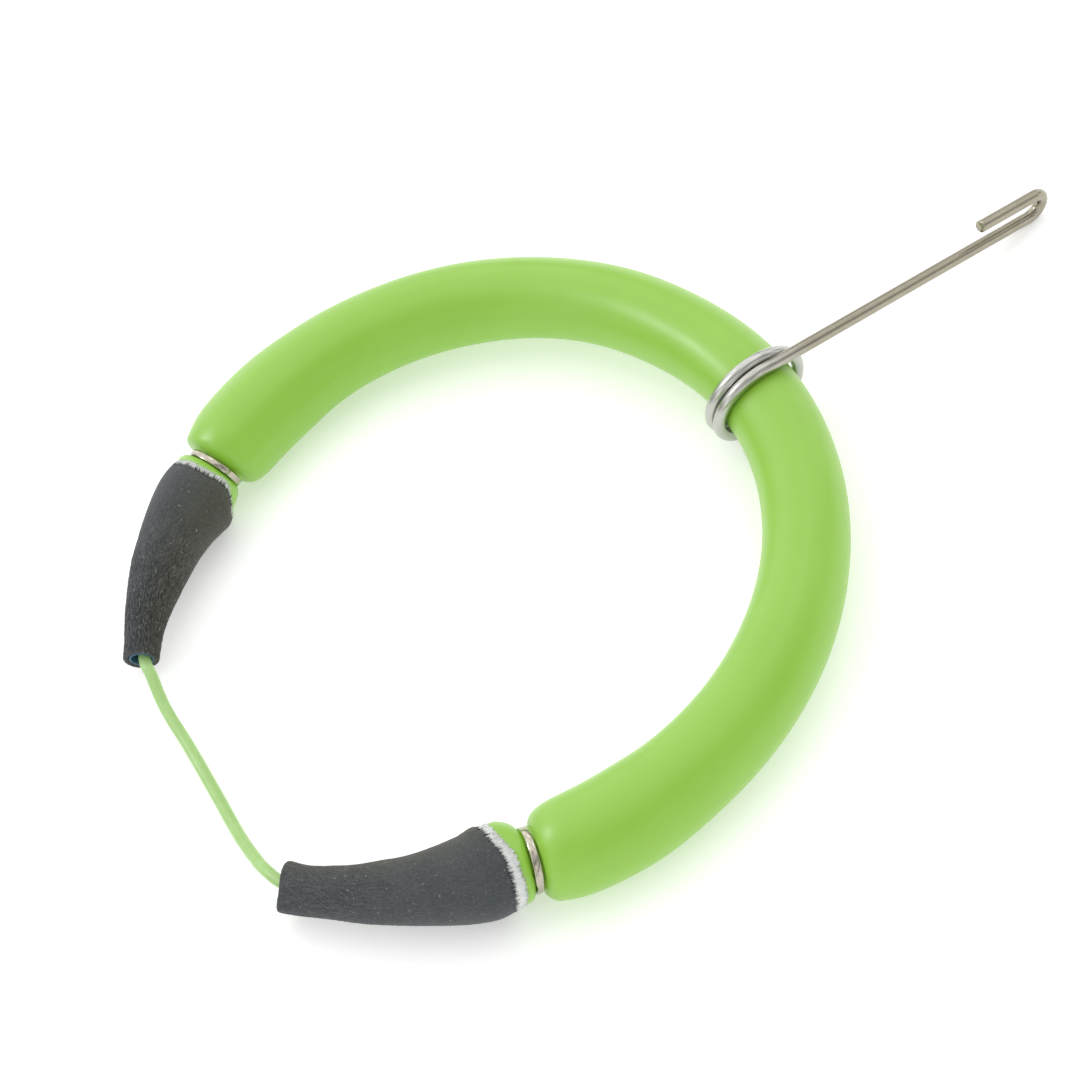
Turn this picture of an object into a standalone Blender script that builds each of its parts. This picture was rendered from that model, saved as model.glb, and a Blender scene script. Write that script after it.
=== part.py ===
"""Flexible ring with two tapered end sleeves, a slack cord between them, and a wire hanger that swings on the ring.

Metres, +Z up. The ring lies on a level surface, its opening towards -Y and its hanger towards +Y. The origin is the
middle of the bottom of the object's box, without the cord.
"""

import math

import bmesh
import bpy
from mathutils import Matrix, Vector

# Driving dimensions. A distance runs along the ring's centreline, from its middle (+ is the right half).
RING_RADIUS = 0.080
NECK = math.radians(114.4) * RING_RADIUS    # distance of each ferrule's middle
SLEEVE_RUN = 0.0552                         # from a ferrule's middle to the sleeve's mouth
LEAN_START = math.radians(80) * RING_RADIUS # from here on, each end of the ring leans a little off its circle
LEAN = {"left": -0.0014, "right": 0.0008}
SPREAD = {"left": 0.0063, "right": 0.0090}  # how far each sleeve has straightened out at its mouth
SPREAD_POWER = 1.3
DROOP = 0.0020                              # how far the mouths hang below the ring's plane

GAP = 0.0003                                # between pieces that touch
TUBE_WALL = 0.0024
LINING_WALL = 0.0005
FERRULE_HALF_WIDTH = 0.0010
FERRULE_WALL = 0.0007
HOSE_RADIUS = 0.0032
HOSE_BORE = 0.00255
HOSE_LENGTH = 0.028
CORD_RADIUS = 0.0015
KNOT_RADIUS = 0.0036

WIRE_RADIUS = 0.00155
COIL_ANGLE = math.radians(5.65)             # the coil sits this far round from the middle of the ring
COIL_CLEARANCE = 0.00070                    # between the tube and the coil, so that the hanger swings freely
COIL_YAW = math.radians(5.3)                # the coil lies a little askew on the tube, as far as its clearance lets it
COIL_ROLL = math.radians(7.5)
COIL_PITCH = 2 * WIRE_RADIUS + 0.00015
COIL_START = math.radians(570)              # the wire's cut end, under the tube
SHANK_SLOPE = math.radians(18.15)           # down from the top of the coil until the crook rests on the surface
SHANK_LENGTH = 0.0868
SHANK_LEAN = math.radians(3.5)              # out of the coil's plane
CROOK_RADIUS = 0.0038
CROOK_LEG = 0.0189
COIL_STEPS = 40
CROOK_STEPS = 8

# Outlines as (distance, radius). The ring's runs from its middle to its neck, the others from the ferrule's middle.
RING_OUTLINE = [
    (math.radians(0) * RING_RADIUS, 0.01020),
    (math.radians(40) * RING_RADIUS, 0.01025),
    (math.radians(65) * RING_RADIUS, 0.01065),
    (math.radians(86) * RING_RADIUS, 0.01100),
    (math.radians(96) * RING_RADIUS, 0.01175),
    (math.radians(104) * RING_RADIUS, 0.01170),
]
SHOULDER_OUTLINE = [
    (-0.0090, 0.01150),
    (-0.0060, 0.01105),
    (-0.0038, 0.01030),
    (-0.0024, 0.00940),
    (-0.0016, 0.00830),
    (-0.00135, 0.00670),
]
CUFF_OUTLINE = [
    (0.00135, 0.00670),
    (0.0016, 0.00810),
    (0.0024, 0.00910),
    (0.0034, 0.00960),
    (0.0038, 0.00880),
    (0.0110, 0.00880),
]
NECK_BORE_OUTLINE = [
    (-0.0100, 0.00900),
    (-0.0050, 0.00790),
    (-0.0026, 0.00560),
    (-0.0016, 0.00440),
    (0.0016, 0.00440),
    (0.0028, 0.00560),
    (0.0042, 0.00640),
    (0.0110, 0.00660),
]
SLEEVE_OUTLINE = [
    (0.0054, 0.01020),
    (0.0064, 0.01045),
    (0.0088, 0.01070),
    (0.0120, 0.01050),
    (0.0160, 0.00995),
    (0.0200, 0.00925),
    (0.0240, 0.00850),
    (0.0280, 0.00785),
    (0.0320, 0.00730),
    (0.0360, 0.00675),
    (0.0400, 0.00620),
    (0.0440, 0.00575),
    (0.0480, 0.00540),
    (0.0520, 0.00525),
    (0.0546, 0.00530),
    (0.0552, 0.00480),
]
LINING_OUTLINE = [
    (0.0041, 0.00960),
    (0.0088, 0.00975),
    (0.0120, 0.00950),
    (0.0160, 0.00895),
    (0.0200, 0.00825),
    (0.0240, 0.00750),
    (0.0280, 0.00685),
    (0.0320, 0.00630),
    (0.0360, 0.00575),
    (0.0400, 0.00520),
    (0.0440, 0.00475),
    (0.0455, 0.00460),
]
PLUG_OUTLINE = [
    (-0.0125, 0.0),
    (-0.0125, 0.00640),
    (-0.0110, 0.00780),
    (-0.0065, 0.00760),
    (-0.0030, 0.00500),
    (-0.0019, 0.00410),
    (0.0019, 0.00410),
    (0.0032, 0.00520),
    (0.0048, 0.00610),
    (0.0085, 0.00610),
    (0.0095, 0.00480),
    (0.0095, 0.0),
]
MOUTH_CHANGE = {"left": -0.0005, "right": 0.0005}  # one sleeve has been stretched a little narrower at its mouth
MOUTH_CHANGE_START = 0.030

# The cord's own route between the mouths, in the ring's frame: slack, sagging to the surface in the middle.
CORD_ROUTE = [
    (-0.0325, -0.0765, -0.0026),
    (-0.0240, -0.0785, -0.0056),
    (-0.0120, -0.0794, -0.0078),
    (0.0030, -0.0808, -0.0086),
    (0.0160, -0.0820, -0.0074),
    (0.0255, -0.0822, -0.0048),
    (0.0325, -0.0818, -0.0024),
]
CORD_STEP = 0.004
CORD_SIDESTEP = 0.0008                      # the cord lies against the inner side of each hose's mouth

LONGEST_RUN = math.radians(5) * RING_RADIUS  # a longer run of an outline is divided, to follow the ring's curve
SIDES = 20
FINE_SIDES = 24
PLAIN_SIDES = 16

MATERIALS = {
    "green_elastomer": ((0.34, 0.64, 0.12), 0.45, 0.0),
    "foam": ((0.55, 0.55, 0.50), 0.95, 0.0),
    "white_plastic": ((0.80, 0.80, 0.78), 0.50, 0.0),
    "steel": ((0.62, 0.60, 0.56), 0.25, 1.0),
    "black_suede": ((0.055, 0.062, 0.065), 0.85, 0.0),
    "white_fleece": ((0.80, 0.82, 0.82), 0.95, 0.0),
    "blue_hose": ((0.03, 0.09, 0.16), 0.40, 0.0),
    "green_cord": ((0.40, 0.72, 0.25), 0.35, 0.0),
}


def clear_scene():
    for obj in list(bpy.data.objects):
        bpy.data.objects.remove(obj, do_unlink=True)


def make_material(name):
    colour, roughness, metallic = MATERIALS[name]
    material = bpy.data.materials.new(name)
    material.use_nodes = True
    shader = material.node_tree.nodes["Principled BSDF"]
    shader.inputs["Base Color"].default_value = (*colour, 1.0)
    shader.inputs["Roughness"].default_value = roughness
    shader.inputs["Metallic"].default_value = metallic
    return material


def add_object(name, data, parent, material):
    obj = bpy.data.objects.new(name, data)
    parts.objects.link(obj)
    obj.parent = parent
    data.materials.append(material)
    return obj


def add_empty(name, location, rotation, parent=None):
    empty = bpy.data.objects.new(name, None)
    parts.objects.link(empty)
    empty.location = location
    empty.rotation_euler = rotation
    empty.parent = parent
    return empty


# The ring's centreline

def side_of(distance):
    return "right" if distance > 0 else "left"


def centre(distance):
    """The centreline's point at a distance: round the ring, then out along a sleeve."""
    side = side_of(distance)
    lean = min(1.0, max(0.0, abs(distance) - LEAN_START) / (NECK - LEAN_START))
    beyond = max(0.0, abs(distance) - NECK) / SLEEVE_RUN
    radius = RING_RADIUS + LEAN[side] * lean**2 * (3 - 2 * lean) + SPREAD[side] * beyond**SPREAD_POWER
    angle = distance / RING_RADIUS
    return Vector((radius * math.sin(angle), radius * math.cos(angle), -DROOP * beyond**2))


def frame_at(distance):
    """The centreline's frame at a distance: X along it, Y away from the ring's middle, Z up."""
    step = 0.0002
    along = (centre(distance + step) - centre(distance - step)).normalized()
    outward = Vector((0, 0, 1)).cross(along).normalized()
    upward = along.cross(outward)
    axes = Matrix((along, outward, upward)).transposed().to_4x4()
    return Matrix.Translation(centre(distance)) @ axes


# Outlines

def divided(outline):
    """The outline with its long runs divided, its radius easing smoothly along each."""
    points = [outline[0]]
    for (start, low), (end, high) in zip(outline, outline[1:]):
        count = max(1, math.ceil(abs(end - start) / LONGEST_RUN))
        for k in range(1, count + 1):
            share = k / count
            ease = share * share * (3 - 2 * share)
            points.append((start + share * (end - start), low + ease * (high - low)))
    return points


def shifted(outline, distance):
    return [(distance + along, radius) for along, radius in outline]


def offset(outline, amount):
    """The outline with every radius changed by the same amount."""
    return [(along, radius + amount) for along, radius in outline]


def mirrored(outline):
    """The outline's mirror image, running the other way."""
    return [(-along, radius) for along, radius in reversed(outline)]


def shell(outer, inner):
    """A closed outline: out along the outer wall and back along the inner one."""
    return divided(outer) + divided(inner)[::-1]


def mouth_fitted(outline, side):
    """The outline with the side's own change of radius at its mouth."""
    fitted = []
    for along, radius in outline:
        share = max(0.0, along - MOUTH_CHANGE_START) / (SLEEVE_RUN - MOUTH_CHANGE_START)
        fitted.append((along, radius + MOUTH_CHANGE[side] * share))
    return fitted


# Shapes

def turned_on_centreline(name, outline, sides, material, closed=True, side="right"):
    """Turns an outline about the centreline, straight, then bends it to the ring's curve."""
    mesh = bpy.data.meshes.new(name)
    bm = bmesh.new()
    points = [bm.verts.new((along, radius, 0)) for along, radius in outline]
    ends = points[1:] + points[:1] if closed else points[1:]
    edges = [bm.edges.new(pair) for pair in zip(points, ends)]
    turn = {"cent": (0, 0, 0), "axis": (1, 0, 0), "angle": math.tau, "steps": sides, "use_merge": True}
    bmesh.ops.spin(bm, geom=points + edges, **turn)
    bmesh.ops.remove_doubles(bm, verts=bm.verts, dist=1e-6)
    hand = 1 if side == "right" else -1
    for vert in bm.verts:
        vert.co = frame_at(hand * vert.co.x) @ Vector((0, vert.co.y, vert.co.z))
    if bm.calc_volume(signed=True) < 0:
        bmesh.ops.reverse_faces(bm, faces=bm.faces)
    bm.to_mesh(mesh)
    bm.free()
    mesh.shade_smooth()
    mesh.set_sharp_from_angle(angle=math.radians(40))
    return add_object(name, mesh, ring, material)


def wire(name, points, radius, parent, material):
    """A round wire or cord with flat cut ends, through the points."""
    curve = bpy.data.curves.new(name, "CURVE")
    curve.dimensions = "3D"
    curve.bevel_depth = radius
    curve.bevel_resolution = 2
    curve.use_fill_caps = True
    spline = curve.splines.new("POLY")
    spline.points.add(len(points) - 1)
    for spot, point in zip(spline.points, points):
        spot.co = (*point, 1)
    return add_object(name, curve, parent, material)


def smooth_through(points, step):
    """Points a step apart along a smooth curve through the given ones."""
    spots = [Vector(point) for point in points]
    spots = [2 * spots[0] - spots[1]] + spots + [2 * spots[-1] - spots[-2]]
    route = []
    for before, start, end, after in zip(spots, spots[1:], spots[2:], spots[3:]):
        count = max(1, round((end - start).length / step))
        for k in range(count):
            t = k / count
            bend = 2 * start + (end - before) * t + (2 * before - 5 * start + 4 * end - after) * t**2
            route.append(0.5 * (bend + (3 * start - before - 3 * end + after) * t**3))
    return route + [spots[-2]]


# Pieces of the ring

def ring_outer_half():
    return RING_OUTLINE + shifted(SHOULDER_OUTLINE + CUFF_OUTLINE, NECK)


def ring_inner_half():
    return offset(RING_OUTLINE, -TUBE_WALL) + shifted(NECK_BORE_OUTLINE, NECK)


def make_ring_tube():
    outer = mirrored(ring_outer_half()) + ring_outer_half()[1:]
    inner = mirrored(ring_inner_half()) + ring_inner_half()[1:]
    turned_on_centreline("ring_tube", shell(outer, inner), SIDES, materials["green_elastomer"])


def make_foam_core():
    half = offset(RING_OUTLINE[:-1], -TUBE_WALL - GAP)
    full_end, full_radius = NECK - 0.0160, 0.0085
    half += [(full_end, full_radius), (full_end + 0.0025, 0.7 * full_radius), (full_end + 0.0025, 0.0)]
    outline = mirrored(half) + half[1:]
    turned_on_centreline("foam_core", divided(outline), PLAIN_SIDES, materials["foam"], closed=False)


def make_end_plug(side):
    outline = shifted(PLUG_OUTLINE, NECK)
    name = "end_plug_" + side
    turned_on_centreline(name, outline, PLAIN_SIDES, materials["white_plastic"], closed=False, side=side)


def make_ferrule(side):
    inner = CUFF_OUTLINE[0][1] + GAP
    outer = inner + FERRULE_WALL
    edge, crown = FERRULE_HALF_WIDTH, 0.0003
    outline = [(-edge, inner), (-edge, outer - crown), (crown - edge, outer)]
    outline += mirrored(outline)
    turned_on_centreline("ferrule_" + side, shifted(outline, NECK), FINE_SIDES, materials["steel"], side=side)


# Pieces of a sleeve

def make_sleeve(side):
    hose_seat = HOSE_RADIUS + GAP
    lining_end = LINING_OUTLINE[-1][0]
    inner = [(SLEEVE_OUTLINE[0][0], LINING_OUTLINE[0][1] + GAP + 0.0001)]
    inner += offset(LINING_OUTLINE[1:], GAP)
    inner += [(lining_end + GAP, LINING_OUTLINE[-1][1] + GAP), (lining_end + 2 * GAP, hose_seat)]
    inner += [(SLEEVE_RUN, hose_seat)]
    outline = shell(mouth_fitted(SLEEVE_OUTLINE, side), inner)
    turned_on_centreline("sleeve_" + side, shifted(outline, NECK), SIDES, materials["black_suede"], side=side)


def make_sleeve_lining(side):
    outline = shell(LINING_OUTLINE, offset(LINING_OUTLINE, -LINING_WALL))
    name = "sleeve_lining_" + side
    turned_on_centreline(name, shifted(outline, NECK), SIDES, materials["white_fleece"], side=side)


def make_liner_hose(side):
    start, end = SLEEVE_RUN - HOSE_LENGTH, SLEEVE_RUN - 0.0002
    outline = shell([(start, HOSE_RADIUS), (end, HOSE_RADIUS)], [(start, HOSE_BORE), (end, HOSE_BORE)])
    name = "liner_hose_" + side
    turned_on_centreline(name, shifted(outline, NECK), PLAIN_SIDES, materials["blue_hose"], side=side)


def hose_start():
    """The distance of the hose's inner end, where the cord's knot stops."""
    return NECK + SLEEVE_RUN - HOSE_LENGTH


def cord_end(side):
    """The cord's points inside a sleeve, from its knot to the mouth."""
    hand = 1 if side == "right" else -1
    points = [centre(hand * (hose_start() + share * HOSE_LENGTH)) for share in (0, 0.35, 0.7)]
    mouth = frame_at(hand * (NECK + SLEEVE_RUN))
    return points + [mouth @ Vector((0, -CORD_SIDESTEP, 0))]


def make_cord():
    route = cord_end("left") + CORD_ROUTE + cord_end("right")[::-1]
    wire("cord", smooth_through(route, CORD_STEP), CORD_RADIUS, ring, materials["green_cord"])


def make_cord_knot(side):
    middle = hose_start() - GAP - KNOT_RADIUS
    hand = 1 if side == "right" else -1
    mesh = bpy.data.meshes.new("cord_knot_" + side)
    bm = bmesh.new()
    bmesh.ops.create_uvsphere(bm, u_segments=PLAIN_SIDES, v_segments=8, radius=KNOT_RADIUS)
    bm.to_mesh(mesh)
    bm.free()
    mesh.shade_smooth()
    knot = add_object("cord_knot_" + side, mesh, ring, materials["green_cord"])
    knot.location = centre(hand * middle)


# The hanger

def coil_radius():
    return RING_OUTLINE[0][1] + COIL_CLEARANCE + WIRE_RADIUS


def pivot_height():
    """The pivot's height with the underside of the coil on the surface."""
    return coil_radius() + WIRE_RADIUS


def ring_tilt():
    """The ring's tilt when it rests on its two bulges and on the coil."""
    bulge_distance, bulge_radius = RING_OUTLINE[-2]
    run = RING_RADIUS - RING_RADIUS * math.cos(bulge_distance / RING_RADIUS)
    return math.asin((pivot_height() - bulge_radius) / run)


def coil_point(turn):
    """A point of the coil, in the pivot's frame: turn 0 is on top of the tube, and it grows towards the ring's middle."""
    across = COIL_PITCH * (0.5 * COIL_START - turn) / math.tau
    return Vector((across, -coil_radius() * math.sin(turn), coil_radius() * math.cos(turn)))


def make_wire_hanger():
    turns = [COIL_START - k / COIL_STEPS * (COIL_START + SHANK_SLOPE) for k in range(COIL_STEPS + 1)]
    points = [coil_point(turn) for turn in turns]
    level = math.cos(SHANK_SLOPE) * math.cos(SHANK_LEAN)
    forward = Vector((-math.sin(SHANK_LEAN), level, -math.sin(SHANK_SLOPE))).normalized()
    sideways = forward.cross(Vector((0, 0, 1))).normalized()
    above = sideways.cross(forward)
    bend_centre = points[-1] + forward * SHANK_LENGTH + above * CROOK_RADIUS
    for k in range(CROOK_STEPS + 1):
        turn = k / CROOK_STEPS * math.pi
        points.append(bend_centre + CROOK_RADIUS * (forward * math.sin(turn) - above * math.cos(turn)))
    points.append(points[-1] - forward * CROOK_LEG)
    wire("wire_hanger", points, WIRE_RADIUS, hanger_pivot, materials["steel"])


def stand_on_surface():
    """Moves the ring so that the object's box, without the cord, stands on the origin."""
    bpy.context.view_layer.update()
    graph = bpy.context.evaluated_depsgraph_get()
    corners = []
    for obj in parts.objects:
        if obj.type != "EMPTY" and obj.name.split("_")[0] != "cord":
            body = obj.evaluated_get(graph)
            corners += [body.matrix_world @ vert.co for vert in body.to_mesh().vertices]
            body.to_mesh_clear()
    low = Vector([min(corner[k] for corner in corners) for k in range(3)])
    high = Vector([max(corner[k] for corner in corners) for k in range(3)])
    ring.location -= Vector(((low.x + high.x) / 2, (low.y + high.y) / 2, low.z))


clear_scene()
parts = bpy.data.collections.new("hanging_ring")
bpy.context.scene.collection.children.link(parts)
materials = {name: make_material(name) for name in MATERIALS}
ring = add_empty("ring", (0, 0, 0), (ring_tilt(), 0, 0))
coil_spot = centre(COIL_ANGLE * RING_RADIUS)
hanger_pivot = add_empty("hanger_pivot", coil_spot, (0, COIL_ROLL, COIL_YAW - COIL_ANGLE), parent=ring)

make_ring_tube()
make_foam_core()
for end in ("left", "right"):
    make_end_plug(end)
    make_ferrule(end)
    make_sleeve(end)
    make_sleeve_lining(end)
    make_liner_hose(end)
    make_cord_knot(end)
make_cord()
make_wire_hanger()
stand_on_surface()
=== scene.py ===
"""The flexible ring with its finished look: a soft green tube, crackled suede sleeves with a fleece lining,
steel ferrules, a slack green cord and a bent steel wire hanger, on a pale floor in soft studio light.

Metres, +Z up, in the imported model's frame. In tables by hand, -1 is the left end and 1 the right end. A
distance runs along the ring's centreline from its middle. An angle round the tube starts away from the ring's
middle and turns upwards.
"""

import math

import bpy
import numpy as np
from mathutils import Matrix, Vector, kdtree


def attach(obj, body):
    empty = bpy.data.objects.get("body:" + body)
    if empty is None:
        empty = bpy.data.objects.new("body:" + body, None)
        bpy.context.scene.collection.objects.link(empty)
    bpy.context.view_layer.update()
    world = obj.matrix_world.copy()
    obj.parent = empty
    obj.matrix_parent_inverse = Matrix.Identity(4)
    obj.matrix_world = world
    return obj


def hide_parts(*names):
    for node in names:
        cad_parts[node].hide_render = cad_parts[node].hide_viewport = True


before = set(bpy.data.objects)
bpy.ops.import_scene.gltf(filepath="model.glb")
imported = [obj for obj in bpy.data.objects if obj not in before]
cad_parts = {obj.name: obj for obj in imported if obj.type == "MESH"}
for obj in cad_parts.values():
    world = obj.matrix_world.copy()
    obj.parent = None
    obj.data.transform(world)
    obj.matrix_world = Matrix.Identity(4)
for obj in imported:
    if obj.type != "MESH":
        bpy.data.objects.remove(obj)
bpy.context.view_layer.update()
rng = np.random.default_rng(7)

MM = 0.001
SIDES = {"left": -1, "right": 1}

# The ring's place and centreline, as the CAD source has them. Its radius changes a little towards the necks,
# and beyond them the line spreads and droops in the sleeves.
RING_AT = np.array((-0.000358, -0.043823, 0.012193))
RING_TILT = math.radians(1.4591)
RING_RADIUS = 0.080
NECK = math.radians(114.4) * RING_RADIUS
SLEEVE_RUN = 0.0552
LEAN_START = math.radians(80) * RING_RADIUS
LEAN = {-1: -0.0014, 1: 0.0008}
SPREAD = {-1: 0.0063, 1: 0.0090}
SPREAD_POWER = 1.3
DROOP = 0.0020
MOUTH = NECK + SLEEVE_RUN

# The hoses in the mouths, and the cord: its route between them in the ring's frame.
HOSE_RADIUS = 0.0032
HOSE_BORE = 0.00255
HOSE_LENGTH = 0.028
HOSE_START = MOUTH - HOSE_LENGTH
CORD_RADIUS = 0.0015
CORD_SIDESTEP = 0.0008
CORD_STEP = 0.002
CORD_ROUTE = [
    (-0.0325, -0.0765, -0.0026),
    (-0.0240, -0.0785, -0.0056),
    (-0.0120, -0.0794, -0.0078),
    (0.0030, -0.0808, -0.0086),
    (0.0160, -0.0820, -0.0074),
    (0.0255, -0.0822, -0.0048),
    (0.0325, -0.0818, -0.0024),
]

# The hanger: a coil round the tube, a shank and a crook.
WIRE_RADIUS = 0.00155
COIL_ANGLE = math.radians(5.65)
COIL_CLEARANCE = 0.00070
COIL_YAW = math.radians(5.3)
COIL_ROLL = math.radians(7.5)
COIL_PITCH = 2 * WIRE_RADIUS + 0.00015
COIL_START = math.radians(570)
SHANK_SLOPE = math.radians(18.15)
SHANK_LENGTH = 0.0868
SHANK_LEAN = math.radians(3.5)
CROOK_RADIUS = 0.0038
CROOK_LEG = 0.0189

# Outlines as (distance, radius). From the shoulders on, the distance is beyond the ferrule's middle.
RING_OUTLINE = [
    (0.0, 0.01020),
    (math.radians(40) * RING_RADIUS, 0.01025),
    (math.radians(65) * RING_RADIUS, 0.01065),
    (math.radians(86) * RING_RADIUS, 0.01100),
    (math.radians(96) * RING_RADIUS, 0.01170),
    (math.radians(104) * RING_RADIUS, 0.01170),
]
SHOULDER_OUTLINE = [
    (-0.0090, 0.01150),
    (-0.0060, 0.01105),
    (-0.0038, 0.01030),
    (-0.0024, 0.00940),
    (-0.0016, 0.00830),
    (-0.00135, 0.00700),
]
CUFF_OUTLINE = [
    (0.00125, 0.00670),
    (0.0014, 0.00780),
    (0.0021, 0.00890),
    (0.0032, 0.00945),
    (0.0046, 0.00962),
    (0.0085, 0.00965),
    (0.0125, 0.00960),
]
SLEEVE_OUTLINE = [
    (0.0054, 0.01015),
    (0.0064, 0.01045),
    (0.0088, 0.01070),
    (0.0120, 0.01050),
    (0.0160, 0.00995),
    (0.0200, 0.00925),
    (0.0240, 0.00850),
    (0.0280, 0.00785),
    (0.0320, 0.00730),
    (0.0360, 0.00675),
    (0.0400, 0.00620),
    (0.0440, 0.00575),
    (0.0480, 0.00540),
    (0.0520, 0.00525),
    (0.0552, 0.00530),
]
SLEEVE_EDGE = SLEEVE_OUTLINE[0][0]
# The tube's bore, from the left neck's middle and at the ring's middle.
NECK_BORE = [(-0.0125, 0.0075), (0, 0.0047), (0.009, 0.0075)]
RING_BORE = 0.0078
SLEEVE_WALL_INSIDE = [(0.030, 0.0048), (0.012, 0.0096), (0.0058, 0.0099)]
# How much wider each sleeve's mouth is than the outline, and where the change starts.
MOUTH_CHANGE = {-1: -0.00075, 1: 0.0005}
MOUTH_CHANGE_START = 0.030

# Where the tube is fuller or slimmer on the side away from the ring's middle: place, width along the tube and
# change.
FULLER = [(-0.150, 0.012, 0.0004), (-0.022, 0.016, -0.00045)]
# The same for the shoulders, from the ferrule's middle. The left one is fuller still, towards an angle of
# LEFT_NECK_TOWARDS.
FULLER_SHOULDERS = (-0.0030, 0.0016, 0.0004)
FULLER_LEFT_SHOULDER = (-0.0018, 0.0009, 0.0009)

# The ferrules lean a little: how far each sits along the tube, what a turn round it adds, and at which angle.
FERRULE_LEANS = {
    -1: (0.0005, 0.0013, math.radians(115)),
    1: (0.0004, -0.00204, math.radians(65)),
}
# The sleeves' frayed edges wander: millimetres further from the ferrule, by degrees round the tube.
FRAYED_EDGES = {
    -1: [
        (-90, 2.8), (-30, 2.0), (29, 1.7), (74, 1.7), (119, 1.6),
        (148, 0.7), (160, 0.9), (170, 2.2), (184, 4.6), (200, 5.2),
    ],
    1: [
        (-90, 2.9), (-60, 2.7), (-30, 2.1), (10, -0.1), (40, -0.9),
        (75, -1.0), (110, 1.9), (144, 4.6), (180, 5.1),
    ],
}
# The tube beside a ferrule moves with it, up to FERRULE_SIDE from its middle. From there to the sleeve's edge
# that shift turns into the edge's wandering. It fades over these lengths: towards the ring, and along the sleeve.
FERRULE_SIDE = 0.0016
SHIFT_FADE_IN = 0.007
SHIFT_FADE_OUT = 0.022
# How far the cuffs and sleeves swell, or hollow, on the side towards the ring's middle and on the side away
# from it: (distance beyond the ferrule's middle, swelling) in millimetres. INNER_SIDE is the angle where the
# inner swelling is most.
INNER_SIDE = {-1: math.radians(196), 1: math.radians(148)}
INNER_SWELLING = {
    -1: [
        (1.5, 0), (3.5, -0.4), (6.0, -0.6), (8.5, 0.25), (11.0, 0.2), (14.0, -0.35),
        (18.0, -0.65), (26.0, -0.3), (36.0, 0), (43.0, -0.1), (50.0, -0.35),
    ],
    1: [
        (1.2, 0), (3.5, 0.7), (5.5, 1.15), (8.0, 0.9), (10.7, 0.35),
        (12.5, -0.3), (14.7, -0.75), (18.0, -0.7), (24.0, -0.45), (33.0, 0),
    ],
}
OUTER_SWELLING = {
    -1: [(2.0, 0), (4.5, -0.8), (6.0, -1.0), (9.5, -1.25), (17.0, -0.85), (24.0, -0.4), (31.0, 0)],
    1: [(2.0, 0), (4.5, -0.6), (5.4, -0.6), (9.5, -0.4), (17.0, -0.15), (27.0, 0)],
}
# The left neck and ferrule are slimmer than the outline, and stand a little aside towards an angle.
LEFT_NECK_SLIMMER = 0.00045
LEFT_NECK_ASIDE = 0.0002
LEFT_NECK_TOWARDS = 0.4

# The suede's crackle is cut by long cells spread over a barrel as wide as the sleeve, in millimetres. Each
# layer has a number of cells, their roundness, the part of a cell that its crack takes, the crack's depth in
# millimetres, and how dark the painted shade in its crack is.
CRACKLE_STRENGTH = {-1: 1.5, 1: 0.6}
CRACKLE_LAYERS = [(4600, 0.19, 0.34, 0.16, 1.0), (12000, 0.34, 0.40, 0.06, 0.6)]
CRACKLE_GIRTH = 9.0
CRACKLE_RUN = 56
CRACKLE_START = 0.014
CRACKLE_GROWS_OVER = 0.030
# Painted highlight: how much lighter the crackle's ridges are painted.
RIDGE_PAINTED_HIGHLIGHT = 0.42
SUEDE_GRAIN = 0.022 * MM
SUEDE_LUMPS = 0.12 * MM

# Teeth on the sleeves' frayed edges, and the fleece's fibres: numbers, widths and lengths in millimetres.
TEETH = (150, (0.16, 0.30), (0.7, 1.5))
TOOTH_WANDER = 0.30 * MM
FIBRES = (4200, (0.022, 0.040), (0.4, 1.2))
FIBRE_START = 0.0058
FLEECE_WIDTH = {-1: 0.0015, 1: 0.0025}
FLEECE_RIM = [(0, 0.0093), (0, 0.0097), (0.0003, 0.00985)]
FLEECE_UNDER_SLEEVE = [(SLEEVE_EDGE, 0.00995), (0.0064, 0.0100), (0.0075, 0.0098)]
# The radius of the neck where the fibres stand.
NECK_RADIUS = 0.010

# The right sleeve's mouth flares and slants from here on: by how much, towards which angle and how sharply.
RIGHT_MOUTH_START = 0.044
RIGHT_MOUTH_FLARE = (0.0004, 2.6)
RIGHT_MOUTH_SLANTS = [(-0.0013, 1.0, 1.5), (0.0006, -0.6, 1.0)]

# A paler, cooler stretch of wire where it coils round the tube, a painted reflection of the coil's bluish
# highlights: where it ends, and over how much it fades, in the wire's U coordinate of 100 to the metre.
COIL_REFLECTION_END = 14.0
COIL_REFLECTION_FADE = 2.5

# The camera's place, its turn in degrees and its lens in millimetres.
CAMERA_AT = (0.37034, -0.13444, 0.53097)
CAMERA_TURN = (34.208, 12.94, 55.489)
CAMERA_LENS = 90.03


# Places on the ring

def to_world(points):
    """Points of the ring's own frame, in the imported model's frame."""
    c, s = math.cos(RING_TILT), math.sin(RING_TILT)
    turn = np.array(((1, 0, 0), (0, c, -s), (0, s, c)))
    return np.asarray(points) @ turn.T + RING_AT


def centre(distance):
    """Points of the centreline at the distances, in the ring's frame."""
    distance = np.asarray(distance, float)
    right = distance > 0
    lean = np.clip((abs(distance) - LEAN_START) / (NECK - LEAN_START), 0, 1)
    beyond = np.clip(abs(distance) - NECK, 0, None) / SLEEVE_RUN
    radius = RING_RADIUS + np.where(right, LEAN[1], LEAN[-1]) * lean**2 * (3 - 2 * lean)
    radius = radius + np.where(right, SPREAD[1], SPREAD[-1]) * beyond**SPREAD_POWER
    angle = distance / RING_RADIUS
    return np.stack((radius * np.sin(angle), radius * np.cos(angle), -DROOP * beyond**2), axis=-1)


def unit(vectors):
    return vectors / np.linalg.norm(vectors, axis=-1, keepdims=True)


def bell(values, middle, width):
    return np.exp(-(((values - middle) / width) ** 2))


def towards(angle, middle):
    """1 at the middle angle, falling to 0 a quarter turn away from it and staying there."""
    return np.clip(np.cos(angle - middle), 0, 1)


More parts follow.
